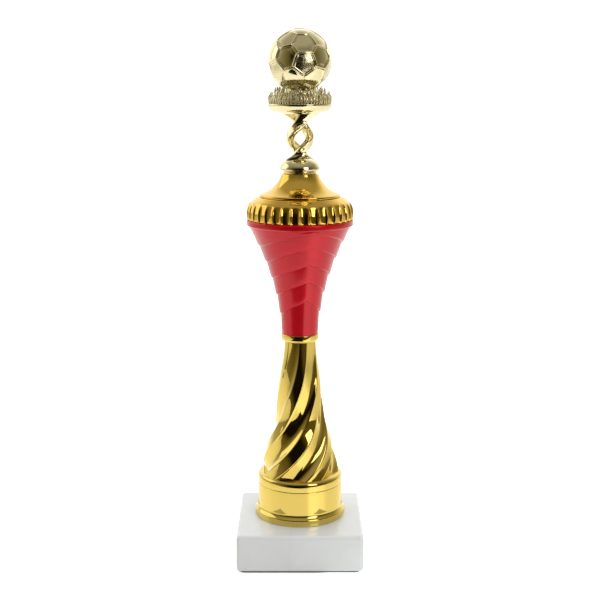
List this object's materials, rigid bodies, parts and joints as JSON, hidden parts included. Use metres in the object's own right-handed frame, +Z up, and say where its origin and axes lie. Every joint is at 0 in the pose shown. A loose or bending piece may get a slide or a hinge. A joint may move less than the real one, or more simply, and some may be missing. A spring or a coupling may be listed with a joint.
{
  "type": "figure trophy",
  "caption": "Tall award trophy: square stone block, flanged cup, twisted stem, flared body with chevron steps, fluted lid, and a ball on grass carried by two twisted strands.",
  "frame": {"origin": "centre of the underside of the square block, on the table", "axes": "+Z up along the trophy, -Y towards the viewer, +X to the viewer's right"},
  "size_m": [0.07, 0.07, 0.2941],
  "materials": {
    "dark_felt": "short matt felt",
    "white_marble": "polished white marble with faint grey veins",
    "zinc_steel": "bright zinc plate",
    "bright_gold": "mirror-bright metallised plastic, yellow gold",
    "warm_gold": "mirror-bright metallised plastic, deeper gold",
    "red_lacquer": "satin red metallic lacquer",
    "pale_ring": "pale gold plastic",
    "insert_brass": "turned brass",
    "pale_gold": "bright metallised plastic, pale gold"
  },
  "bodies": {
    "trophy_body": {"felt_sheet": "dark_felt", "marble_base": "white_marble", "tie_rod": "zinc_steel", "flat_washer": "zinc_steel", "lock_washer": "zinc_steel", "hex_nut": "zinc_steel", "base_cup": "bright_gold", "twisted_stem": "bright_gold", "stem_ring": "bright_gold", "flared_body": "red_lacquer", "fluted_lid": "warm_gold", "lid_cap": "warm_gold", "neck_ring": "pale_ring"},
    "figure_thread": {"thread_insert": "insert_brass"},
    "figure": {"figure_collar": "pale_gold", "twisted_strands": "pale_gold", "grass_dish": "pale_gold", "grass_mound": "pale_gold", "ball_front_half": "pale_gold", "ball_rear_half": "pale_gold"}
  },
  "joints": [
    {"name": "figure_lift", "type": "slide", "parent": "trophy_body", "child": "figure_thread", "axis": [0, 0, 1], "range_m": [0, 0.004]},
    {"name": "figure_turn", "type": "hinge", "parent": "figure_thread", "child": "figure", "pos_m": [0, 0.004, 0.2184], "axis": [0, 0, 1], "range_deg": [0, 1440]}
  ],
  "couplings": [
    {"joint": "figure_lift", "follows": "figure_turn", "m_per_rad": 0.00015915}
  ]
}
